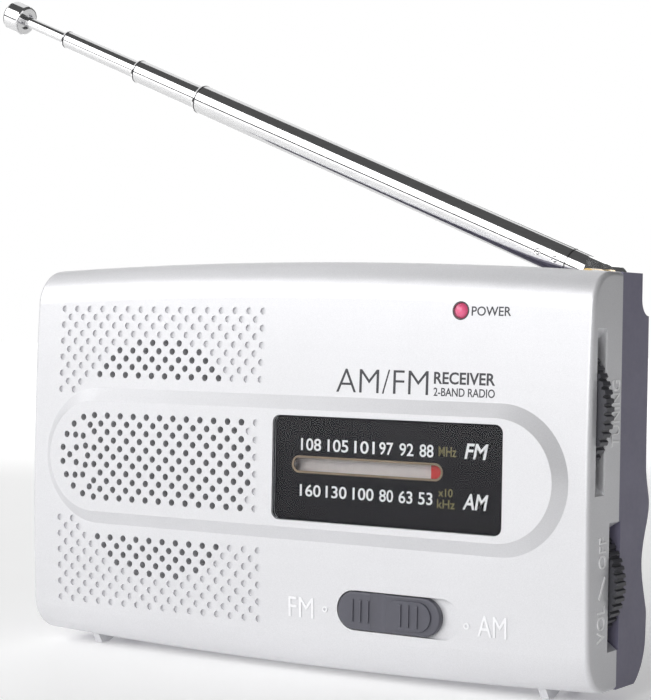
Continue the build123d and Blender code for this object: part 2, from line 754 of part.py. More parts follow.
with BuildPart() as volume_pot:
    add(bar_along_y(7.0, volume_place, (BOARD_BACK, -1.6)))
    fillet(volume_pot.faces().sort_by(Axis.Y)[-1].edges(), 0.4)
    add(bar_along_y(1.5 + FINE_GAP, volume_place, (-3.2, -1.5)), mode=Mode.SUBTRACT)

with BuildPart() as volume_wheel:
    disc = knurled_disc(VOLUME_RADIUS, 54, 0.45)
    add(wheel_place(disc, VOLUME_X, VOLUME_Z, (-3.4, 0.3)))
    add(bar_along_y(7.5, volume_place, (-3.4, -1.3)), mode=Mode.SUBTRACT)
    add(bar_along_y(1.5, volume_place, (-1.3, 0.3)), mode=Mode.SUBTRACT)

with BuildPart() as volume_shaft:
    add(bar_along_y(1.5, volume_place, (-3.1, 0.3)))
    add(bar_along_y(0.6, volume_place, (-2.3, 0.3)), mode=Mode.SUBTRACT)

with BuildPart() as volume_wheel_screw:
    add(bar_along_y(0.6, volume_place, (-2.2, 0.3)))
    add(bar_along_y(2.2, volume_place, (0.3, 1.2)))
    slot_x = (VOLUME_X - 2.2, VOLUME_X + 2.2)
    slot_z = (VOLUME_Z - 0.3, VOLUME_Z + 0.3)
    add(box_between(slot_x, (0.75, 1.3), slot_z), mode=Mode.SUBTRACT)

# ---------------------------------------------------------------- band switch

knob_x = (SWITCH_X[0] + 0.2, SWITCH_X[0] + 0.2 + KNOB_LENGTH)
knob_half_height = SWITCH_HEIGHT / 2 - 0.2
knob_face = -11.5
raised_face = -11.85

with BuildPart() as band_switch_knob:
    with BuildSketch(front_plane(SWITCH_FLOOR - 0.1)):
        with Locations((sum(knob_x) / 2, SWITCH_Z)):
            SlotOverall(KNOB_LENGTH, 2 * knob_half_height)
    extrude(amount=SWITCH_FLOOR - 0.1 - knob_face)
    fillet(band_switch_knob.faces().sort_by(Axis.Y)[0].edges(), 0.35)
    # finger scoop across the knob, and a raised pad with round ends to the right of it
    with BuildSketch(Plane.XY.offset(SWITCH_Z - SWITCH_HEIGHT)):
        with Locations((knob_x[0] + 8.3, knob_face - 3.0)):
            Circle(3.4)
    extrude(amount=2 * SWITCH_HEIGHT, mode=Mode.SUBTRACT)
    with BuildSketch(front_plane(SWITCH_FLOOR - 0.4)):
        with Locations((knob_x[0] + 14.5, SWITCH_Z)):
            SlotOverall(9.4, 5.6)
    extrude(amount=SWITCH_FLOOR - 0.4 - raised_face, taper=12)
    # three low ribs to grip on the knob's face and three on the pad
    for face, ribs in ((knob_face, (3.1, 4.7, 6.3)), (raised_face, (13.0, 14.6, 16.3))):
        for rib_x in ribs:
            with BuildSketch(end_plane(knob_x[0] + rib_x - 0.22)):
                with Locations((face + 0.15, SWITCH_Z)):
                    SlotOverall(4.1, 0.8, rotation=90)
            extrude(amount=0.44)
    add(box_between((16.4, 22.5), (-10.6, -8.6), (SWITCH_Z - 1.2, SWITCH_Z + 1.2)))

with BuildPart() as band_switch_body:
    add(box_between((12.3, 34.3), (-9.0, -6.0), (SWITCH_Z - 2.75, SWITCH_Z + 2.75)))
    chamfer(band_switch_body.faces().sort_by(Axis.Y)[0].edges(), 0.3)
    add(box_between((15.6, 27.2), (-9.1, -8.0), (SWITCH_Z - 1.4, SWITCH_Z + 1.4)), mode=Mode.SUBTRACT)

with BuildPart() as switch_board:
    add(box_between((5.0, 39.5), (-6.0, -5.0), (5.5, 20.0)))
    chamfer(switch_board.edges().filter_by(Axis.Y), 1.0)
    add(bar_along_y(0.9, [(x, SWITCH_Z) for x in STAKES_X], (-6.1, -4.9)), mode=Mode.SUBTRACT)

# ---------------------------------------------------------------- power light

with BuildPart() as power_led:
    add(bar_along_y(LIGHT_RADIUS, [(LIGHT_X, LIGHT_Z)], (-10.5, -8.0)))
    with BuildSketch(Plane((LIGHT_X, 0, LIGHT_Z), x_dir=(1, 0, 0), z_dir=(0, 0, 1))):
        with BuildLine():
            Line((0, -10.5), (LIGHT_RADIUS, -10.5))
            CenterArc((0, -10.5), LIGHT_RADIUS, 270, 90)
            Line((0, -10.5 - LIGHT_RADIUS), (0, -10.5))
        make_face()
    revolve(axis=Axis((LIGHT_X, 0, LIGHT_Z), (0, 1, 0)))
    add(bar_along_y(LIGHT_RADIUS + 0.35, [(LIGHT_X, LIGHT_Z)], (-7.95, -7.0)))
    add(bar_along_y(LIGHT_RADIUS, [(LIGHT_X, LIGHT_Z)], (-8.1, -7.9)))
    legs = [(LIGHT_X - 0.9, LIGHT_Z), (LIGHT_X + 0.9, LIGHT_Z)]
    add(bar_along_y(0.25, legs, (-7.1, -3.2)))

# ---------------------------------------------------------------- loudspeaker

with BuildPart() as speaker_basket:
    profile = [
        (25.0, SPEAKER_SEAT), (25.0, -8.5), (22.6, -8.5), (10.0, -4.5), (10.0, -3.9),
        (5.6, -3.9), (5.6, -4.5), (9.4, -4.5), (21.9, -8.6), (21.9, SPEAKER_SEAT),
    ]
    add(turned_about_y(profile, SPEAKER_X, PAD_Z))
    add(bar_along_y(0.6, speaker_screw_places, (SPEAKER_SEAT - 0.1, -8.4)), mode=Mode.SUBTRACT)
    for angle in range(0, 360, 60):
        spot = (SPEAKER_X + 15.5 * cos(radians(angle)), PAD_Z + 15.5 * sin(radians(angle)))
        add(bar_along_y(2.6, [spot], (-8.2, -3.5)), mode=Mode.SUBTRACT)

with BuildPart() as speaker_cone:
    profile = [
        (21.9, -9.1), (21.9, -8.85), (21.4, -8.85), (21.0, -9.2), (20.6, -8.75),
        (6.2, -5.3), (4.9, -5.3), (4.9, -4.0), (4.7, -4.0), (4.7, -5.6),
        (6.2, -5.6), (20.4, -9.0), (20.7, -9.3), (21.0, -9.45), (21.4, -9.1),
    ]
    add(turned_about_y(profile, SPEAKER_X, PAD_Z))

with BuildPart() as speaker_dust_cap:
    profile = [
        (0, -7.3), (1.6, -7.2), (3.2, -6.9), (4.6, -6.4), (5.9, -5.6),
        (5.5, -5.6), (4.4, -6.2), (3.1, -6.6), (1.5, -6.9), (0, -7.0),
    ]
    add(turned_about_y(profile, SPEAKER_X, PAD_Z))

speaker_place = [(SPEAKER_X, PAD_Z)]

with BuildPart() as speaker_magnet:
    add(bar_along_y(9.0, speaker_place, (-3.9, 1.8)))
    add(bar_along_y(5.2, speaker_place, (-4, 1.9)), mode=Mode.SUBTRACT)

with BuildPart() as speaker_yoke:
    add(bar_along_y(9.5, speaker_place, (1.8, 2.8)))
    add(bar_along_y(4.4, speaker_place, (-4.4, 1.9)))
    chamfer(speaker_yoke.faces().sort_by(Axis.Y)[-1].edges(), 0.3)

with BuildPart() as speaker_screws:
    add(bar_along_y(0.6, speaker_screw_places, (-10.2, -8.4)))
    add(bar_along_y(1.1, speaker_screw_places, (-8.5, -7.8)))

# ---------------------------------------------------------------- main board

with BuildPart() as main_board:
    with BuildSketch(front_plane(BOARD_BACK)):
        with BuildLine():
            Polyline(
                (-2.0, 40.4), (38.4, 40.4), (38.4, 4.4), (57.0, 4.4),
                (57.0, 67.5), (-2.0, 67.5), close=True,
            )
        make_face()
        with Locations(*CASE_SCREWS):
            Circle(2.8, mode=Mode.SUBTRACT)
        with Locations(*BOARD_SCREWS):
            Circle(0.8, mode=Mode.SUBTRACT)
        with Locations(*tuning_place):
            Circle(2.6, mode=Mode.SUBTRACT)
        with Locations(*idler_place):
            Circle(1.0, mode=Mode.SUBTRACT)
        with Locations(*legs):
            Circle(0.25, mode=Mode.SUBTRACT)
    extrude(amount=BOARD_BACK - BOARD_FRONT)

with BuildPart() as board_screws:
    add(bar_along_y(0.8, BOARD_SCREWS, (-9.1, BOARD_BACK)))
    add(bar_along_y(1.8, BOARD_SCREWS, (BOARD_BACK, BOARD_BACK + 1.0)))

with BuildPart() as radio_chip:
    add(box_between((2.0, 22.0), (-3.3, -1.1), (50.4, 56.1)))
    chamfer(radio_chip.faces().sort_by(Axis.Y)[-1].edges(), 0.3)
    for pin in range(10):
        x = 3.0 + 2.0 * pin
        add(box_between((x - 0.3, x + 0.3), (BOARD_BACK, -2.2), (49.8, 50.6)))
        add(box_between((x - 0.3, x + 0.3), (BOARD_BACK, -2.2), (55.9, 56.7)))

can_places = ((6.0, 46.0), (15.5, 46.0))

with BuildPart() as if_cans:
    for x, z in can_places:
        add(box_between((x - 3.5, x + 3.5), (BOARD_BACK, 5.8), (z - 3.5, z + 3.5)))
    fillet(if_cans.edges().filter_by(Axis.Y), 0.5)
    add(bar_along_y(1.9, can_places, (4.6, 5.9)), mode=Mode.SUBTRACT)

with BuildPart() as if_cores:
    add(bar_along_y(1.7, can_places, (4.6, 5.3)))
    for x, z in can_places:
        add(box_between((x - 1.2, x + 1.2), (4.9, 5.4), (z - 0.25, z + 0.25)), mode=Mode.SUBTRACT)

with BuildPart() as electrolytic_capacitors:
    for x, z, radius, length in ((33.0, 47.5, 3.1, 9.0), (31.0, 54.2, 2.5, 7.0), (42.0, 35.4, 2.5, 8.0)):
        add(bar_along_y(radius, [(x, z)], (BOARD_BACK + 0.3, BOARD_BACK + length)))
        add(bar_along_y(0.3, [(x - 1.0, z), (x + 1.0, z)], (BOARD_BACK, BOARD_BACK + 0.4)))
    fillet(electrolytic_capacitors.faces().filter_by(Plane.XZ).group_by(Axis.Y)[-1].edges(), 0.4)

with BuildPart() as small_components:
    for x, z in ((40.6, 62.0), (44.0, 62.0), (47.4, 62.0), (22.0, 48.7), (22.0, 43.2)):
        add(bar_along_x(0.8, BOARD_BACK + 0.9, z, (x - 1.4, x + 1.4)))
        for end in (-1.25, 1.25):
            add(box_between((x + end - 0.25, x + end + 0.25), (BOARD_BACK, -2.8), (z - 0.3, z + 0.3)))
    for x, z in ((25.5, 57.5), (25.5, 53.5), (55.0, 37.0), (51.0, 35.0), (47.0, 35.0)):
        with BuildSketch(end_plane(x - 0.7)):
            with Locations((BOARD_BACK + 2.4, z)):
                Circle(1.6)
            with Locations((BOARD_BACK + 0.7, z)):
                Rectangle(1.4, 1.2)
        extrude(amount=1.4)

# ---------------------------------------------------------------- ferrite aerial

rod_y, rod_z = 2.5, 61.2

with BuildPart() as ferrite_rod:
    add(bar_along_x(3.5, rod_y, rod_z, (-8.0, 36.0)))
    chamfer(ferrite_rod.edges(), 0.3)

with BuildPart() as ferrite_coil:
    add(bar_along_x(4.1, rod_y, rod_z, (2.5, 15.0)))
    add(bar_along_x(4.4, rod_y, rod_z, (4.0, 13.5)))
    add(bar_along_x(3.5, rod_y, rod_z, (0, 17)), mode=Mode.SUBTRACT)

with BuildPart() as ferrite_clips:
    for x in (18.5, 31.9):
        add(box_between((x - 1.2, x + 1.2), (BOARD_BACK, 4.0), (56.9, 65.5)))
    add(bar_along_x(3.5, rod_y, rod_z, (0, 40)), mode=Mode.SUBTRACT)
    add(box_between((0, 40), (2.5, 5), (58.8, 63.6)), mode=Mode.SUBTRACT)

# ---------------------------------------------------------------- earphone socket

JACK_Y, JACK_Z = -4.0, 61.0
JACK_BORE = 1.8
jack_mouth = -HALF_WIDTH + 0.2

with BuildPart() as earphone_jack:
    add(box_between((-57.3, -47.0), (JACK_Y - 3.5, JACK_Y + 3.5), (JACK_Z - 3.5, JACK_Z + 3.5)))
    fillet(earphone_jack.edges().filter_by(Axis.X), 0.6)
    add(bar_along_x(3.0, JACK_Y, JACK_Z, (jack_mouth, -57.0)))
    add(bar_along_x(JACK_BORE, JACK_Y, JACK_Z, (jack_mouth - 1, -48.0)), mode=Mode.SUBTRACT)

# ---------------------------------------------------------------- cells and contacts


def cell(z, negative_end, direction):
    """An AA cell along X: its flat end at negative_end, its nub in the given direction."""
    length, nub = 49.5, 1.0
    ends = sorted((negative_end, negative_end + direction * length))
    nub_start = negative_end + direction * (length - 0.1)
    nub_ends = sorted((nub_start, nub_start + direction * (nub + 0.1)))
    with BuildPart() as body:
        add(bar_along_x(CELL_RADIUS, CELL_Y, z, ends))
        fillet(body.edges(), 0.4)
        add(bar_along_x(2.7, CELL_Y, z, nub_ends))
    return body.part


def coil_spring(z, start, direction, length):
    """A battery spring: wire turns that start inside their plate."""
    with BuildPart() as spring:
        with BuildLine() as wire:
            Helix(
                pitch=length / 3.6,
                height=length - 0.3,
                radius=2.4,
                center=(start, CELL_Y, z),
                direction=(direction, 0, 0),
            )
        with BuildSketch(wire.line ^ 0):
            Circle(0.3)
        sweep(path=wire.line, is_frenet=True)
    return spring.part


upper_z, lower_z = CELL_Z

with BuildPart() as cell_upper:
    add(cell(upper_z, -13.9, 1))

with BuildPart() as cell_lower:
    add(cell(lower_z, 32.9, -1))

plate_y = (-3.2, 7.6)
left_plate = (BAY_X[0], BAY_X[0] + 0.4)
right_plate = (BAY_X[1] - 0.4, BAY_X[1])

with BuildPart() as bridge_contact:
    add(box_between(left_plate, plate_y, (lower_z - 4.5, upper_z + 4.5)))
    add(coil_spring(upper_z, left_plate[1] - 0.1, 1, 3.8))

with BuildPart() as negative_contact:
    add(box_between(right_plate, plate_y, (lower_z - 4.5, lower_z + 4.5)))
    add(coil_spring(lower_z, right_plate[0] + 0.1, -1, 3.8))

with BuildPart() as positive_contact:
    add(box_between(right_plate, plate_y, (upper_z - 4.5, upper_z + 4.5)))

# ---------------------------------------------------------------- case screws

with BuildPart() as case_screws:
    add(bar_along_y(1.0, CASE_SCREWS, (-9.0, 3.0)))
    add(bar_along_y(2.0, CASE_SCREWS, (3.0, 4.3)))
    for x, z in CASE_SCREWS:
        add(box_between((x - 1.4, x + 1.4), (3.7, 4.4), (z - 0.3, z + 0.3)), mode=Mode.SUBTRACT)
        add(box_between((x - 0.3, x + 0.3), (3.7, 4.4), (z - 1.4, z + 1.4)), mode=Mode.SUBTRACT)

# ---------------------------------------------------------------- telescopic aerial

aerial_along = (-cos(AERIAL_TILT), 0, sin(AERIAL_TILT))
aerial_across = (sin(AERIAL_TILT), 0, cos(AERIAL_TILT))
aerial_plane = Plane(PIVOT, x_dir=aerial_across, z_dir=(0, -1, 0))
TONGUE = (1.3, 6.0)


def along_aerial(reach):
    """The point on the aerial's axis at a distance from its pivot."""
    return Vector(PIVOT) + Vector(aerial_along) * reach


def turned_along_aerial(points):
    """A solid of revolution about the aerial, from (radius, distance from the pivot) points."""
    with BuildPart() as body:
        with BuildSketch(aerial_plane):
            with BuildLine():
                Polyline(*points, close=True)
            make_face()
        revolve(axis=Axis(PIVOT, aerial_along))
    return body.part


def aerial_tube(outer, inner, start, mouth):
    """A tube with a narrow rolled lip at its mouth."""
    points = [
        (inner, start), (outer, start), (outer, mouth - 0.5), (outer - 0.12, mouth - 0.15),
        (outer - 0.3, mouth), (inner, mouth),
    ]
    return turned_along_aerial(points)


def punch_marks(y):
    """Ring-shaped punch marks, along Y, that hold the outer tube on its base."""
    places = [(along_aerial(reach).X, along_aerial(reach).Z) for reach in PUNCH_REACH]
    with BuildPart() as marks:
        add(bar_along_y(0.6, places, y))
        add(bar_along_y(0.38, places, y), mode=Mode.SUBTRACT)
    return marks.part


with BuildPart() as antenna_base:
    with BuildSketch(Plane((0, TONGUE[1], 0), x_dir=(1, 0, 0), z_dir=(0, -1, 0))):
        with Locations(*pivot_place):
            Circle(2.9)
        reach = 4.0
        middle = along_aerial(reach / 2)
        with Locations((middle.X, middle.Z)):
            Rectangle(reach, 5.6, rotation=180 - degrees(AERIAL_TILT))
    extrude(amount=TONGUE[1] - TONGUE[0])
    collar = [(0, 3.3), (2.5, 3.3), (2.8, 3.6), (2.8, 7.6), (2.35, 7.6), (2.35, 12.0), (0, 12.0)]
    add(turned_along_aerial(collar))
    add(bar_along_y(1.0 + FINE_GAP, pivot_place, (0, 8)), mode=Mode.SUBTRACT)

with BuildPart() as antenna_outer_tube:
    add(aerial_tube(*TUBE_RADII[0], 7.7, TUBE_MOUTHS[0]))
    punched = TUBE_RADII[0][0] - PUNCH_DEPTH
    add(punch_marks((PIVOT[1] - 4, PIVOT[1] - punched)), mode=Mode.SUBTRACT)
    add(punch_marks((PIVOT[1] + punched, PIVOT[1] + 4)), mode=Mode.SUBTRACT)

with BuildPart() as antenna_middle_tube:
    add(aerial_tube(*TUBE_RADII[1], TUBE_MOUTHS[1] - TUBE_LENGTHS[1], TUBE_MOUTHS[1]))

with BuildPart() as antenna_inner_tube:
    add(aerial_tube(*TUBE_RADII[2], TUBE_MOUTHS[2] - TUBE_LENGTHS[2], TUBE_MOUTHS[2]))

knob_radius, knob_length = KNOB_SIZE
knob_end = KNOB_START + knob_length

with BuildPart() as antenna_rod:
    rod_start = KNOB_START - TIP_ROD_LENGTH
    add(turned_along_aerial([(0, rod_start), (TIP_ROD_RADIUS, rod_start),
        (TIP_ROD_RADIUS, knob_end - 1.0), (0, knob_end - 1.0)]))

with BuildPart() as antenna_knob:
    add(turned_along_aerial([
        (TIP_ROD_RADIUS, KNOB_START + 0.6), (1.75, KNOB_START + 0.6), (1.75, KNOB_START),
        (2.6, KNOB_START), (2.85, KNOB_START + 0.1), (knob_radius, KNOB_START + 0.4),
        (knob_radius, knob_end - 0.5), (2.8, knob_end - 0.12), (2.4, knob_end), (0, knob_end),
        (0, knob_end - 1.0), (TIP_ROD_RADIUS, knob_end - 1.0),
    ]))

with BuildPart() as antenna_insert:
    add(bar_along_y(INSERT_RADIUS, pivot_place, (-4.6, -0.1)))
    add(bar_along_y(1.0, pivot_place, (-4.6, -0.1)), mode=Mode.SUBTRACT)

with BuildPart() as antenna_washer:
    add(bar_along_y(1.6, pivot_place, (NOTCH_FRONT, TONGUE[0] - 0.05)))
    add(bar_along_y(1.0, pivot_place, (0, TONGUE[0])), mode=Mode.SUBTRACT)

with BuildPart() as antenna_pivot_screw:
    add(bar_along_y(1.0, pivot_place, (-4.5, TONGUE[1] + 0.1)))
    add(bar_along_y(2.3, pivot_place, (TONGUE[1] + 0.05, TONGUE[1] + 1.1)))
    slot_z = (PIVOT[2] - 0.35, PIVOT[2] + 0.35)
    slot_y = (TONGUE[1] + 0.6, TONGUE[1] + 1.2)
    add(box_between((PIVOT[0] - 2.5, PIVOT[0] + 2.5), slot_y, slot_z), mode=Mode.SUBTRACT)

# ---------------------------------------------------------------- files

os.makedirs("parts", exist_ok=True)
pieces = {
    "front_shell": front_shell,
    "rear_shell": rear_shell,
    "battery_door": battery_door,
    "dial_lens": dial_lens,
    "dial_mask": dial_mask,
    "dial_backing": dial_backing,
    "tuning_wheel": tuning_wheel,
    "tuning_shaft": tuning_shaft,
    "tuning_wheel_screw": tuning_wheel_screw,
    "idler_gear": idler_gear,
    "idler_axle": idler_axle,
    "pointer_rack": pointer_rack,
    "dial_pointer": dial_pointer,
    "tuning_capacitor": tuning_capacitor,
    "volume_pot": volume_pot,
    "volume_wheel": volume_wheel,
    "volume_shaft": volume_shaft,
    "volume_wheel_screw": volume_wheel_screw,
    "band_switch_knob": band_switch_knob,
    "band_switch_body": band_switch_body,
    "switch_board": switch_board,
    "power_led": power_led,
    "speaker_basket": speaker_basket,
    "speaker_cone": speaker_cone,
    "speaker_dust_cap": speaker_dust_cap,
    "speaker_magnet": speaker_magnet,
    "speaker_yoke": speaker_yoke,
    "speaker_screws": speaker_screws,
    "main_board": main_board,
    "board_screws": board_screws,
    "radio_chip": radio_chip,
    "if_cans": if_cans,
    "if_cores": if_cores,
    "electrolytic_capacitors": electrolytic_capacitors,
    "small_components": small_components,
    "ferrite_rod": ferrite_rod,
    "ferrite_coil": ferrite_coil,
    "ferrite_clips": ferrite_clips,
    "earphone_jack": earphone_jack,
    "cell_upper": cell_upper,
    "cell_lower": cell_lower,
    "bridge_contact": bridge_contact,
    "negative_contact": negative_contact,
    "positive_contact": positive_contact,
    "case_screws": case_screws,
    "antenna_base": antenna_base,
    "antenna_outer_tube": antenna_outer_tube,
    "antenna_middle_tube": antenna_middle_tube,
    "antenna_inner_tube": antenna_inner_tube,
    "antenna_rod": antenna_rod,
    "antenna_knob": antenna_knob,
    "antenna_insert": antenna_insert,
    "antenna_washer": antenna_washer,
    "antenna_pivot_screw": antenna_pivot_screw,
}
for name, piece in pieces.items():
    piece.part.label = name
    export_step(piece.part, f"parts/{name}.step")
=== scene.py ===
from math import cos, pi, radians, sin, sqrt

import bpy
from mathutils import Euler, Matrix, Vector


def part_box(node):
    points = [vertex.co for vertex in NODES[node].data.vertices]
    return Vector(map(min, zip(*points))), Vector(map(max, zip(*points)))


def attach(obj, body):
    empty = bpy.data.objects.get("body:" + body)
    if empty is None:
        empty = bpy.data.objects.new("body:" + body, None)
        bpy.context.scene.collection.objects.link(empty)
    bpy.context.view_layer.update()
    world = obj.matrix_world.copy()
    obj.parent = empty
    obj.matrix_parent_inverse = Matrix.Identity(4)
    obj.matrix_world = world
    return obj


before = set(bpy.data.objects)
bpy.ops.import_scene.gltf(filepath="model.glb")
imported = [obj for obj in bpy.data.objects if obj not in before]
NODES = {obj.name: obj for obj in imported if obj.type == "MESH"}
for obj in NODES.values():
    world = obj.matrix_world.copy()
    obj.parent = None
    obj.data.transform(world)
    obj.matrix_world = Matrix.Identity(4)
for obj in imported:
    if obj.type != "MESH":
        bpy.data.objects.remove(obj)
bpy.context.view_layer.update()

MM = 0.001


# ---------------------------------------------------------------- node helpers


class Shade:
    """A material under construction: its nodes, its shader and the object coordinates in mm."""

    def __init__(self, name):
        self.material = bpy.data.materials.new(name)
        self.material.use_nodes = True
        self.tree = self.material.node_tree
        self.shader = self.tree.nodes["Principled BSDF"]
        self._place = None

    def node(self, kind, **settings):
        made = self.tree.nodes.new(kind)
        for key, value in settings.items():
            setattr(made, key, value)
        return made

    def link(self, source, target):
        self.tree.links.new(source, target)

    def put(self, socket, value):
        self.shader.inputs[socket].default_value = value

    @property
    def place(self):
        """Object coordinates scaled to millimetres."""
        if self._place is None:
            coordinates = self.node("ShaderNodeTexCoord")
            scale = self.node("ShaderNodeVectorMath", operation="SCALE")
            scale.inputs["Scale"].default_value = 1 / MM
            self.link(coordinates.outputs["Object"], scale.inputs[0])
            self._place = scale.outputs[0]
        return self._place

    def stretched(self, x, y, z):
        mapping = self.node("ShaderNodeMapping")
        mapping.inputs["Scale"].default_value = (x, y, z)
        self.link(self.place, mapping.inputs["Vector"])
        return mapping.outputs[0]

    def noise(self, scale, detail=2.0, roughness=0.5, vector=None):
        texture = self.node("ShaderNodeTexNoise")
        texture.inputs["Scale"].default_value = scale
        texture.inputs["Detail"].default_value = detail
        texture.inputs["Roughness"].default_value = roughness
        self.link(vector or self.place, texture.inputs["Vector"])
        return texture.outputs["Fac"]

    def ramp(self, factor, stops):
        """A colour ramp from (position, colour or grey) stops."""
        made = self.node("ShaderNodeValToRGB")
        elements = made.color_ramp.elements
        while len(elements) < len(stops):
            elements.new(0.5)
        for element, (position, colour) in zip(elements, stops):
            element.position = position
            if isinstance(colour, (int, float)):
                colour = (colour, colour, colour)
            element.color = (*colour, 1)
        self.link(factor, made.inputs["Fac"])
        return made.outputs["Color"]

    def bump(self, height, strength, distance_mm):
        made = self.node("ShaderNodeBump")
        made.inputs["Strength"].default_value = strength
        made.inputs["Distance"].default_value = distance_mm * MM
        self.link(height, made.inputs["Height"])
        self.link(made.outputs[0], self.shader.inputs["Normal"])

    def mixed(self, a, b, factor):
        """A blend of two colours (tuples or sockets) by a factor socket."""
        made = self.node("ShaderNodeMix", data_type="RGBA")
        self.link(factor, made.inputs["Factor"])
        for socket, value in (("A", a), ("B", b)):
            target = [s for s in made.inputs if s.name == socket and s.type == "RGBA"][0]
            if isinstance(value, tuple):
                target.default_value = (*value, 1)
            else:
                self.link(value, target)
        return [s for s in made.outputs if s.type == "RGBA"][0]


def tone(colour, factor):
    return tuple(min(1.0, c * factor) for c in colour)


def shifted(colour, spread):
    return [(0.3, tone(colour, 1 - spread)), (0.7, tone(colour, 1 + spread))]


# ---------------------------------------------------------------- materials


def silver_paint(name, colour=(0.70, 0.70, 0.72)):
    """Silver paint with fine metal flake and a faint orange-peel."""
    m = Shade(name)
    flake = m.node("ShaderNodeTexVoronoi")
    flake.inputs["Scale"].default_value = 9.0
    m.link(m.place, flake.inputs["Vector"])
    spark = m.ramp(flake.outputs["Color"], [(0.15, tone(colour, 0.93)), (0.85, tone(colour, 1.07))])
    broad = m.noise(0.05, 3.0)
    worn = m.ramp(broad, [(0.3, tone(colour, 0.97)), (0.7, tone(colour, 1.03))])
    m.link(m.mixed(spark, worn, m.noise(2.0)), m.shader.inputs["Base Color"])
    m.put("Metallic", 0.42)
    m.link(m.ramp(m.noise(3.0, 4.0), [(0.3, 0.36), (0.7, 0.46)]), m.shader.inputs["Roughness"])
    m.put("Coat Weight", 0.12)
    m.put("Coat Roughness", 0.22)
    m.bump(m.noise(6.0, 3.0), 0.10, 0.05)
    return m.material


def moulded_plastic(name, colour, roughness=0.45, grain=4.0, strength=0.12):
    """Moulded plastic with a spark-eroded grain and slightly uneven gloss."""
    m = Shade(name)
    m.link(m.ramp(m.noise(0.15, 3.0), shifted(colour, 0.05)), m.shader.inputs["Base Color"])
    gloss = [(0.3, roughness - 0.05), (0.7, roughness + 0.06)]
    m.link(m.ramp(m.noise(1.2, 4.0), gloss), m.shader.inputs["Roughness"])
    m.bump(m.noise(grain, 4.0, 0.6), strength, 0.06)
    return m.material


def polished_chrome(name):
    """Chrome plating: drawn-tube streaks along its length and a faint haze."""
    m = Shade(name)
    streak = m.noise(1.4, 3.0, vector=m.stretched(0.06, 1.6, 1.6))
    tint = m.ramp(streak, [(0.3, (0.80, 0.80, 0.81)), (0.7, (0.90, 0.90, 0.90))])
    m.link(tint, m.shader.inputs["Base Color"])
    m.put("Metallic", 1.0)
    m.link(m.ramp(m.noise(0.7, 4.0), [(0.35, 0.05), (0.75, 0.13)]), m.shader.inputs["Roughness"])
    m.bump(streak, 0.03, 0.02)
    return m.material


def metal(name, colour, roughness=0.3, brushed=(1, 1, 1)):
    """Plated or turned metal with fine directional marks."""
    m = Shade(name)
    marks = m.noise(5.0, 3.0, vector=m.stretched(*brushed))
    m.link(m.ramp(marks, shifted(colour, 0.08)), m.shader.inputs["Base Color"])
    m.put("Metallic", 1.0)
    m.link(m.ramp(marks, [(0.3, roughness - 0.06), (0.7, roughness + 0.08)]), m.shader.inputs["Roughness"])
    m.bump(marks, 0.08, 0.02)
    return m.material


def clear_lens(name):
    """The dial's clear window."""
    m = Shade(name)
    m.put("Base Color", (0.93, 0.94, 0.95, 1))
    m.put("Transmission Weight", 1.0)
    m.put("IOR", 1.18)
    m.link(m.ramp(m.noise(0.4, 3.0), [(0.3, 0.0), (0.8, 0.01)]), m.shader.inputs["Roughness"])
    return m.material


def printed_film(name, colour, gloss=0.5):
    """Printed film: flat ink with a very fine screen."""
    m = Shade(name)
    m.put("Specular IOR Level", gloss)
    m.link(m.ramp(m.noise(0.8, 2.0), shifted(colour, 0.03)), m.shader.inputs["Base Color"])
    m.link(m.ramp(m.noise(0.5, 2.0), [(0.3, 0.45), (0.7, 0.5)]), m.shader.inputs["Roughness"])
    return m.material


def ink(name, colour, roughness=0.5):
    m = Shade(name)
    m.link(m.ramp(m.noise(4.0, 2.0), shifted(colour, 0.05)), m.shader.inputs["Base Color"])
    m.put("Roughness", roughness)
    return m.material


def light_dome(name, colour):
    """Tinted translucent resin, darkened towards its outline by viewing angle (painted shade), with a
    faint painted glow.
    """
    m = Shade(name)
    # painted shade: the facing ramp darkens the dome where its surface turns away from the view
    facing = m.node("ShaderNodeLayerWeight")
    facing.inputs["Blend"].default_value = 0.35
    rim = m.ramp(facing.outputs["Facing"], [(0.0, tone(colour, 1.15)), (0.9, tone(colour, 0.35))])
    m.link(rim, m.shader.inputs["Base Color"])
    m.put("Roughness", 0.12)
    m.put("Subsurface Weight", 0.25)
    m.put("Coat Weight", 0.6)
    # painted glow: a faint emission in the dome's own colour
    m.put("Emission Color", (*colour, 1))
    m.put("Emission Strength", 0.12)
    return m.material


def laminate(name):
    """Tan paper laminate with faint fibres and copper-side tint."""
    m = Shade(name)
    fibre = m.noise(2.5, 5.0, vector=m.stretched(0.3, 1, 1))
    tint = m.ramp(fibre, [(0.3, (0.38, 0.22, 0.08)), (0.7, (0.52, 0.33, 0.14))])
    m.link(tint, m.shader.inputs["Base Color"])
    m.put("Roughness", 0.5)
    m.bump(fibre, 0.1, 0.03)
    return m.material


def pressed_paper(name):
    m = Shade(name)
    fibre = m.noise(3.0, 5.0, 0.7)
    tint = m.ramp(fibre, [(0.3, (0.012, 0.012, 0.014)), (0.7, (0.035, 0.034, 0.036))])
    m.link(tint, m.shader.inputs["Base Color"])
    m.put("Roughness", 0.85)
    m.bump(fibre, 0.4, 0.1)
    return m.material


def wound_wire(name):
    """Enamelled copper wire wound side by side along X."""
    m = Shade(name)
    wave = m.node("ShaderNodeTexWave", wave_type="BANDS", bands_direction="X")
    wave.inputs["Scale"].default_value = 1.1
    wave.inputs["Distortion"].default_value = 0.1
    m.link(m.place, wave.inputs["Vector"])
    tint = m.ramp(wave.outputs["Fac"], [(0.1, (0.20, 0.06, 0.02)), (0.8, (0.62, 0.24, 0.10))])
    m.link(tint, m.shader.inputs["Base Color"])
    m.put("Metallic", 0.8)
    m.put("Roughness", 0.3)
    m.bump(wave.outputs["Fac"], 0.6, 0.08)
    return m.material


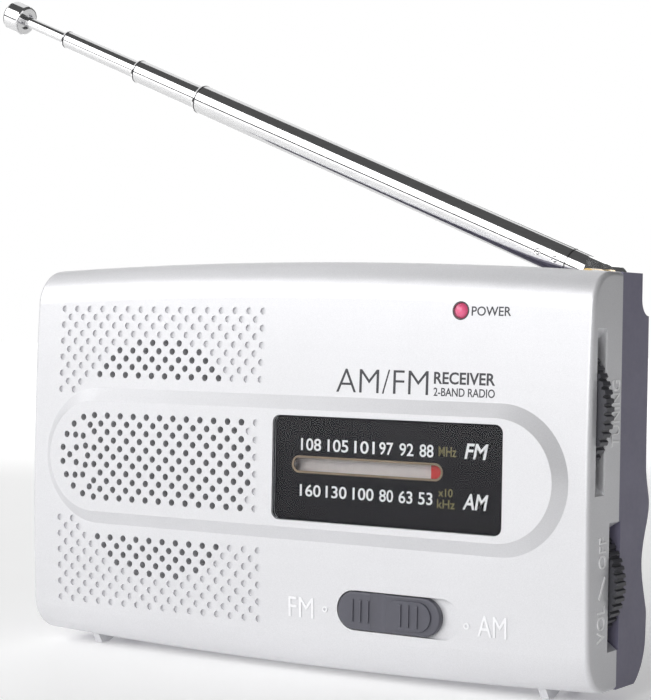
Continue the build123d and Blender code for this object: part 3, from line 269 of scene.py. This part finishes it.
def cell_wrap(name):
    """A plain wrapped cell: a band of lighter colour near its raised end, no lettering."""
    m = Shade(name)
    split = m.node("ShaderNodeSeparateXYZ")
    m.link(m.place, split.inputs[0])
    band = m.node("ShaderNodeMapRange")
    band.inputs["From Min"].default_value = -20.0
    band.inputs["From Max"].default_value = 40.0
    m.link(split.outputs["X"], band.inputs["Value"])
    blue = (0.03, 0.06, 0.16)
    gold = (0.42, 0.30, 0.10)
    colours = [(0.0, blue), (0.69, blue), (0.70, gold), (1.0, gold)]
    m.link(m.ramp(band.outputs[0], colours), m.shader.inputs["Base Color"])
    m.put("Metallic", 0.3)
    m.link(m.ramp(m.noise(1.0, 3.0), [(0.3, 0.22), (0.7, 0.34)]), m.shader.inputs["Roughness"])
    return m.material


silver = silver_paint("silver_paint")
# a lighter copy of the silver paint for the raised slide letters and dots: painted highlight where they
# catch the light
highlit_silver = silver_paint("silver_paint_highlit", (0.86, 0.86, 0.88))
rear_grey = moulded_plastic("rear_grey", (0.185, 0.175, 0.25), 0.42)
wheel_grey = moulded_plastic("wheel_grey", (0.055, 0.055, 0.065), 0.42, 6.0, 0.08)
slider_grey = moulded_plastic("slider_grey", (0.085, 0.085, 0.105), 0.40, 5.0, 0.08)
chrome = polished_chrome("aerial_chrome")
sheet_steel = metal("plated_sheet", (0.58, 0.58, 0.58), 0.30, (0.3, 1, 1))
screw_steel = metal("screw_steel", (0.55, 0.55, 0.56), 0.32)
brass = metal("turned_brass", (0.68, 0.48, 0.20), 0.28)
can_metal = metal("can_metal", (0.72, 0.72, 0.73), 0.34, (1, 0.2, 1))
nylon = moulded_plastic("nylon", (0.78, 0.78, 0.74), 0.36, 3.0, 0.05)
pointer_red = moulded_plastic("pointer_red", (0.62, 0.035, 0.03), 0.35, 3.0, 0.05)
strip_card = printed_film("strip_card", (0.93, 0.84, 0.80))
mask_ink = printed_film("mask_ink", (0.014, 0.013, 0.016), 0.1)
paper = pressed_paper("cone_paper")
board = laminate("board_laminate")

FINISHES = {
    "front_shell": silver,
    "rear_shell": rear_grey,
    "battery_door": rear_grey,
    "dial_lens": clear_lens("lens_clear"),
    "dial_mask": mask_ink,
    "dial_backing": strip_card,
    "dial_pointer": pointer_red,
    "power_led": light_dome("light_red", (0.80, 0.10, 0.22)),
    "tuning_wheel": wheel_grey,
    "volume_wheel": wheel_grey,
    "band_switch_knob": slider_grey,
    "tuning_capacitor": moulded_plastic("tuner_plastic", (0.62, 0.61, 0.54), 0.25, 2.0, 0.03),
    "radio_chip": moulded_plastic("chip_black", (0.015, 0.015, 0.017), 0.55),
    "earphone_jack": moulded_plastic("socket_black", (0.014, 0.014, 0.015), 0.25, 2.0, 0.03),
    "electrolytic_capacitors": moulded_plastic("sleeve_dark", (0.02, 0.025, 0.08), 0.22, 2.0, 0.03),
    "small_components": moulded_plastic("component_tan", (0.50, 0.30, 0.13), 0.3, 2.0, 0.05),
    "speaker_magnet": moulded_plastic("sintered_magnet", (0.03, 0.03, 0.032), 0.6, 3.0, 0.3),
    "ferrite_rod": moulded_plastic("sintered_ferrite", (0.04, 0.04, 0.043), 0.5, 3.0, 0.3),
    "ferrite_coil": wound_wire("coil_copper"),
    "if_cores": moulded_plastic("core_yellow", (0.60, 0.42, 0.05), 0.5),
    "cell_upper": cell_wrap("cell_wrap"),
}
FINISHES["cell_lower"] = FINISHES["cell_upper"]
for names, finish in (
    (("idler_gear", "pointer_rack", "ferrite_clips"), nylon),
    (("tuning_shaft", "idler_axle", "volume_shaft", "antenna_insert"), brass),
    (("antenna_washer",), screw_steel),
    (("speaker_cone", "speaker_dust_cap"), paper),
    (("main_board", "switch_board"), board),
    (("if_cans",), can_metal),
    (("speaker_basket", "speaker_yoke", "band_switch_body", "volume_pot"), sheet_steel),
    (("bridge_contact", "negative_contact", "positive_contact"), sheet_steel),
):
    for name in names:
        FINISHES[name] = finish
for name in NODES:
    if name.endswith(("screw", "screws")):
        FINISHES[name] = screw_steel
    elif name.startswith("antenna_") and name not in FINISHES:
        FINISHES[name] = chrome


# ---------------------------------------------------------------- carried-over nodes

for name, node in NODES.items():
    if not node.data.materials:
        node.data.materials.append(FINISHES[name])
    for slot in node.material_slots:
        slot.material = FINISHES[name]


# ---------------------------------------------------------------- built pieces


def mesh_piece(name, vertices, faces, material, body):
    """A mesh object from vertices in mm that rides on a body."""
    mesh = bpy.data.meshes.new(name)
    mesh.from_pydata([tuple(Vector(v) * MM) for v in vertices], [], faces)
    mesh.update()
    piece = bpy.data.objects.new(name, mesh)
    bpy.context.collection.objects.link(piece)
    mesh.materials.append(material)
    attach(piece, body)
    return piece


def lettering(name, text, low, high, turn, material, depth=0.03, weight=0.0, slant=0.0):
    """Letters fitted into a box: low and high are (across, up) in mm, turn maps them to the face."""
    curve = bpy.data.curves.new(name, "FONT")
    curve.body = text
    curve.size = 1.0
    curve.offset = weight
    curve.extrude = 0.5
    curve.resolution_u = 4
    holder = bpy.data.objects.new(name + "_text", curve)
    bpy.context.collection.objects.link(holder)
    bpy.context.view_layer.update()
    seen = holder.evaluated_get(bpy.context.evaluated_depsgraph_get())
    mesh = bpy.data.meshes.new_from_object(seen)
    bpy.data.objects.remove(holder)
    for v in mesh.vertices:
        v.co.x += slant * v.co.y
    xs = [v.co.x for v in mesh.vertices]
    ys = [v.co.y for v in mesh.vertices]
    wide = (high[0] - low[0]) / (max(xs) - min(xs))
    tall = (high[1] - low[1]) / (max(ys) - min(ys))
    for v in mesh.vertices:
        across = low[0] + (v.co.x - min(xs)) * wide
        up = low[1] + (v.co.y - min(ys)) * tall
        v.co = Vector(turn(across, up, (v.co.z + 0.5) * depth)) * MM
    mesh.materials.clear()
    mesh.materials.append(material)
    piece = bpy.data.objects.new(name, mesh)
    bpy.context.collection.objects.link(piece)
    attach(piece, "radio_body")
    return piece


MASK_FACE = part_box("dial_mask")[0].y / MM
MID_HEIGHT = 37.5
BOW_RADIUS = 480.0
FRONT_DEPTH = 12.0
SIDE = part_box("front_shell")[1].x / MM


def panel_y(z):
    """Depth of the bowed front panel at height z, in mm."""
    return BOW_RADIUS - FRONT_DEPTH - sqrt(BOW_RADIUS**2 - (z - MID_HEIGHT) ** 2)


def on_mask(across, up, lift):
    return (across, MASK_FACE - lift, up)


def on_panel(across, up, lift):
    return (across, panel_y(up) - lift, up)


def on_side(across, up, lift):
    """The right-hand end: across runs from front to back, up is height."""
    return (SIDE + lift, across, up)


def up_the_side(across, up, lift):
    """Letters that read upwards on the right-hand end: across is height, up is towards the front."""
    return (SIDE + lift, -up, across)


# ---------------------------------------------------------------- dial lettering

dial_white = ink("dial_white", (0.88, 0.88, 0.88))
dial_olive = ink("dial_olive", (0.20, 0.17, 0.07))
dial_rim = ink("dial_rim", (0.26, 0.19, 0.12))
print_grey = ink("print_grey", (0.045, 0.045, 0.052), 0.4)
# near-white for the raised letters and dash on the right-hand end, which are the same silver moulding as
# the end: painted highlight for the light they catch
side_highlight_white = ink("side_highlight_white", (0.93, 0.93, 0.94), 0.4)

FM_ROW = (
    ("108", 3.7, 7.95), ("105", 9.3, 13.6), ("101", 14.85, 19.0),
    ("97", 19.95, 22.75), ("92", 24.0, 26.8), ("88", 28.0, 30.75),
)
AM_ROW = (
    ("160", 3.6, 8.0), ("130", 9.05, 13.4), ("100", 14.65, 18.95),
    ("80", 20.1, 22.9), ("63", 24.0, 26.75), ("53", 27.9, 30.7),
)
for row, marks, low, high in (("upper", FM_ROW, 40.45, 42.65), ("lower", AM_ROW, 32.3, 34.45)):
    for text, left, right in marks:
        lettering(
            f"dial_{row}_{text}", text, (left, low), (right, high),
            on_mask, dial_white, weight=0.012,
        )
for row, text, low, high in (
    ("upper", "FM", (36.75, 40.55), (41.3, 43.2)),
    ("lower", "AM", (36.55, 32.0), (41.45, 34.7)),
):
    lettering(
        f"dial_band_{row}", text, low, high,
        on_mask, dial_white, weight=0.018, slant=0.22,
    )
for name, text, low, high in (
    ("dial_unit_upper", "MHz", (31.75, 40.75), (35.2, 42.45)),
    ("dial_times_ten", "x10", (31.8, 33.9), (34.6, 35.3)),
    ("dial_unit_lower", "kHz", (31.6, 31.9), (35.1, 33.4)),
):
    lettering(name, text, low, high, on_mask, dial_olive, weight=0.01)

# ---------------------------------------------------------------- printed and raised labels

FRONT_LETTER_HEIGHT = 0.14    # how far letters stand off the front, in mm
SIDE_LETTER_HEIGHT = 0.16
DOT_HEIGHT = 0.18

for name, text, low, high, weight in (
    ("label_bands", "AM/FM", (10.3, 51.0), (28.9, 55.2), -0.012),
    ("label_receiver", "RECEIVER", (30.0, 53.0), (41.8, 55.1), 0.02),
    ("label_two_band", "2-BAND RADIO", (30.0, 50.95), (41.8, 52.4), 0.01),
    ("label_power", "POWER", (36.8, 64.75), (44.3, 66.35), 0.01),
):
    lettering(name, text, low, high, on_panel, print_grey, weight=weight)
# raised FM and AM beside the band slider, in the lighter silver: painted highlight
for name, text, low, high in (
    ("label_slide_left", "FM", (0.7, 10.5), (6.0, 14.1)),
    ("label_slide_right", "AM", (39.1, 10.6), (44.6, 14.2)),
):
    lettering(name, text, low, high, on_panel, highlit_silver, FRONT_LETTER_HEIGHT)
# letters reading up the right-hand end, in painted-highlight white
for name, text, low, high in (
    ("label_tuning", "TUNING", (43.2, 0.75), (54.4, 3.75)),
    ("label_off", "OFF", (23.1, 5.1), (28.4, 7.7)),
    ("label_volume", "VOL", (10.8, 5.2), (17.0, 8.0)),
):
    lettering(name, text, low, high, up_the_side, side_highlight_white, SIDE_LETTER_HEIGHT)


def flat_ring(name, centre, outer, inner, turn, material, lift, parts=48):
    """A thin raised ring: outer and inner are (half-width, half-height) of rounded slots."""
    vertices, faces = [], []
    for half, raised in ((outer, 0.0), (outer, lift), (inner, lift), (inner, 0.0)):
        run = half[0] - half[1]
        for i in range(parts):
            angle = 2 * pi * i / parts
            shift = run if cos(angle) > 1e-9 else (-run if cos(angle) < -1e-9 else 0)
            across = centre[0] + shift + half[1] * cos(angle)
            vertices.append(turn(across, centre[1] + half[1] * sin(angle), raised))
    for ring in range(3):
        for i in range(parts):
            j = (i + 1) % parts
            near, far = ring * parts, (ring + 1) * parts
            faces.append((near + i, near + j, far + j, far + i))
    return mesh_piece(name, vertices, faces, material, "radio_body")


flat_ring(
    "dial_slot_rim", (17.225, 37.98), (15.4, 1.55), (15.0, 1.18),
    on_mask, dial_rim, 0.03,
)
# raised dots in the lighter silver: painted highlight
for name, centre in (("label_dot_left", (8.45, 12.4)), ("label_dot_right", (36.95, 12.1))):
    flat_ring(
        name, centre, (0.55, 0.55), (0.3, 0.3),
        on_panel, highlit_silver, DOT_HEIGHT, 24,
    )
LED = (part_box("power_led")[0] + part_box("power_led")[1]) / 2 / MM
# a dark ring round the light in the grey print colour: painted shadow for the gap between the light and
# its hole
flat_ring(
    "power_light_gap_shadow", (LED.x, LED.z), (1.6, 1.6), (1.38, 1.38),
    on_panel, print_grey, 0.05,
)
# the raised dash on the right-hand end, in the same painted-highlight white
DASH = ((-7.6, 18.3), (-7.3, 18.0), (-5.2, 21.5), (-5.5, 21.8))
mesh_piece(
    "label_volume_dash",
    [on_side(y, z, lift) for lift in (0, SIDE_LETTER_HEIGHT) for y, z in DASH],
    [(4, 5, 6, 7), (0, 1, 5, 4), (1, 2, 6, 5), (2, 3, 7, 6), (3, 0, 4, 7)],
    side_highlight_white,
    "radio_body",
)

# ---------------------------------------------------------------- aerial rings: painted shadow at the tube joints

TILT = radians(22)
ALONG = Vector((-cos(TILT), 0, sin(TILT)))
ACROSS = Vector((sin(TILT), 0, cos(TILT)))
PIVOT = Vector((55.0, 4.2, 71.1))
RING_PROUD = 0.02
MOUTH_WIDTH = 0.28
SEAM_WIDTH = 0.12
# near-black band painted where shade falls in the joints of the aerial
mouth_shadow_paint = ink("mouth_shadow", (0.012, 0.012, 0.015), 0.35)


def mouth_shadow_band(name, body, radius, reach, width=MOUTH_WIDTH, parts=40):
    """Painted shadow at a joint of the tube: a thin dark band a hair proud of the tube."""
    vertices, faces = [], []
    proud = radius + RING_PROUD
    for distance, r in ((0, radius), (0, proud), (width, proud), (width, radius)):
        for i in range(parts):
            angle = 2 * pi * i / parts
            side = ACROSS * cos(angle) + Vector((0, 1, 0)) * sin(angle)
            vertices.append(PIVOT + ALONG * (reach + distance) + side * r)
    for ring in range(3):
        for i in range(parts):
            j = (i + 1) % parts
            near, far = ring * parts, (ring + 1) * parts
            faces.append((near + i, near + j, far + j, far + i))
    return mesh_piece(name, vertices, faces, mouth_shadow_paint, body)


mouth_shadow_band("joint_shadow_outer", "antenna_arm", 2.80, 93.3)
mouth_shadow_band("joint_shadow_middle", "antenna_middle", 2.30, 110.0)
mouth_shadow_band("joint_shadow_inner", "antenna_inner", 1.75, 130.0)
mouth_shadow_band("joint_shadow_base", "antenna_arm", 2.80, 7.75, SEAM_WIDTH)

# ---------------------------------------------------------------- floor, light and camera

floor_material = Shade("floor")
floor_material.link(
    floor_material.ramp(floor_material.noise(0.02, 2.0), [(0.3, 0.86), (0.7, 0.88)]),
    floor_material.shader.inputs["Base Color"],
)
floor_material.put("Roughness", 0.6)
floor_material.put("Emission Color", (1, 1, 1, 1))
distance = floor_material.node("ShaderNodeVectorMath", operation="LENGTH")
floor_material.link(floor_material.place, distance.inputs[0])
glow = floor_material.node("ShaderNodeMapRange")
for socket, value in (("From Min", 450.0), ("From Max", 1300.0), ("To Min", 0.22), ("To Max", 1.1)):
    glow.inputs[socket].default_value = value
floor_material.link(distance.outputs["Value"], glow.inputs["Value"])
floor_material.link(glow.outputs[0], floor_material.shader.inputs["Emission Strength"])


def stage_plane(name, width, depth, place, turn, material):
    mesh = bpy.data.meshes.new(name)
    w, d = width / 2, depth / 2
    mesh.from_pydata([(-w, -d, 0), (w, -d, 0), (w, d, 0), (-w, d, 0)], [], [(0, 1, 2, 3)])
    mesh.materials.append(material)
    piece = bpy.data.objects.new(name, mesh)
    bpy.context.collection.objects.link(piece)
    piece.matrix_world = Matrix.Translation(place) @ turn.to_matrix().to_4x4()
    return piece


FLOOR_SIZE = 8
FLOOR_DROP = 0.0003    # keeps the floor clear of the feet, in metres
floor_place = Vector((0, 0, -FLOOR_DROP))
stage_plane("floor", FLOOR_SIZE, FLOOR_SIZE, floor_place, Euler((0, 0, 0)), floor_material.material)


def area_light(name, place, target, size, power):
    data = bpy.data.lights.new(name, "AREA")
    data.shape = "RECTANGLE"
    data.size, data.size_y = size
    data.energy = power
    lamp = bpy.data.objects.new(name, data)
    bpy.context.collection.objects.link(lamp)
    lamp.location = place
    lamp.rotation_euler = (Vector(target) - Vector(place)).to_track_quat("-Z", "Y").to_euler()
    return lamp


CENTRE = (0, 0, 0.04)
area_light("key", (-0.65, -1.00, 0.70), CENTRE, (2.2, 1.0), 17.5)
area_light("front", (0.25, -1.30, 0.45), CENTRE, (0.5, 0.5), 5.0)
area_light("top", (-0.75, 0.40, 1.00), CENTRE, (1.9, 0.8), 3.6)
area_light("back", (-0.5, 0.9, 0.3), CENTRE, (0.8, 0.5), 1.6)

world = bpy.data.worlds.new("studio")
bpy.context.scene.world = world
world.use_nodes = True
tree = world.node_tree
background = tree.nodes["Background"]
path = tree.nodes.new("ShaderNodeLightPath")
strength = tree.nodes.new("ShaderNodeMapRange")
strength.inputs["To Min"].default_value = 0.09
strength.inputs["To Max"].default_value = 1.0
tree.links.new(path.outputs["Is Camera Ray"], strength.inputs["Value"])
tree.links.new(strength.outputs[0], background.inputs["Strength"])
background.inputs["Color"].default_value = (1, 1, 1, 1)

PHOTO_HEIGHT = 700        # pixels
FOCAL_PIXELS = 1995.27
SENSOR_HEIGHT = 36.0

camera_data = bpy.data.cameras.new("camera")
camera = bpy.data.objects.new("camera", camera_data)
bpy.context.collection.objects.link(camera)
camera.location = (0.19877, -0.30883, 0.06262)
camera.rotation_euler = Euler((radians(89.3067), radians(-0.9569), radians(32.7382)), "XYZ")
camera_data.sensor_fit = "VERTICAL"
camera_data.sensor_height = SENSOR_HEIGHT
camera_data.lens = FOCAL_PIXELS / PHOTO_HEIGHT * SENSOR_HEIGHT
camera_data.clip_start = 0.01
bpy.context.scene.camera = camera
bpy.context.scene.view_settings.view_transform = "Standard"
